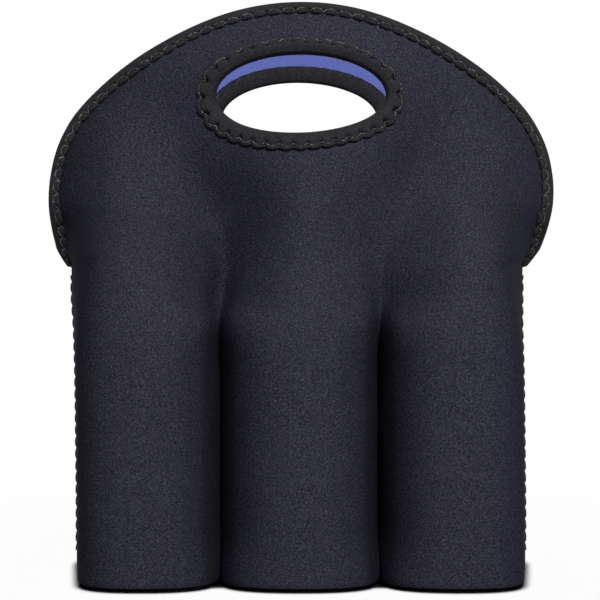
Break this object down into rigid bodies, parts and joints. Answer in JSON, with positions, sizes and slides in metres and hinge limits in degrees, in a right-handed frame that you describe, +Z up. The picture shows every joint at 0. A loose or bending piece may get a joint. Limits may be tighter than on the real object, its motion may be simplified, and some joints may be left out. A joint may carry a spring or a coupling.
{
  "type": "bottle carrier",
  "caption": "Soft neoprene carrier with upright bottle tubes in two rows, a scalloped base, slotted dividers and two bound half-moon flaps with oval handle openings.",
  "frame": {"origin": "middle of the base, on the surface the carrier stands on", "axes": "+Z up, +X along the rows of tubes to the right seen from the front, front flap towards -Y"},
  "size_m": [0.2422, 0.144, 0.2736],
  "materials": {
    "shell_neoprene": "matt charcoal jersey over foam",
    "lining_jersey": "periwinkle blue knitted jersey",
    "binding_tape": "black stretch tape",
    "sewing_thread": "black twisted polyester"
  },
  "bodies": {
    "carrier": {"back_body_lining": "lining_jersey", "back_body_panel": "shell_neoprene", "back_divider_stitching": "sewing_thread", "back_edge_binding_ends": "binding_tape", "base_lining": "lining_jersey", "base_panel": "shell_neoprene", "centre_divider": "lining_jersey", "front_body_lining": "lining_jersey", "front_body_panel": "shell_neoprene", "front_divider_stitching": "sewing_thread", "front_edge_binding_ends": "binding_tape", "left_cross_divider": "lining_jersey", "left_side_seam_thread": "sewing_thread", "right_cross_divider": "lining_jersey", "right_side_seam_thread": "sewing_thread"},
    "front_flap": {"front_handle_flap": "shell_neoprene", "front_flap_lining": "lining_jersey", "front_edge_binding": "binding_tape", "front_handle_binding": "binding_tape", "front_edge_stitching": "sewing_thread", "front_handle_stitching": "sewing_thread"},
    "back_flap": {"back_handle_flap": "shell_neoprene", "back_flap_lining": "lining_jersey", "back_edge_binding": "binding_tape", "back_handle_binding": "binding_tape", "back_edge_stitching": "sewing_thread", "back_handle_stitching": "sewing_thread"}
  },
  "joints": [
    {"name": "front_flap_fold", "type": "hinge", "parent": "carrier", "child": "front_flap", "pos_m": [0, -0.04432, 0.178], "axis": [1, 0, 0], "range_deg": [-22, 55], "stiffness_Nm_per_rad": 0.06},
    {"name": "back_flap_fold", "type": "hinge", "parent": "carrier", "child": "back_flap", "pos_m": [0, 0.04432, 0.178], "axis": [-1, 0, 0], "range_deg": [-22, 55], "stiffness_Nm_per_rad": 0.06}
  ]
}
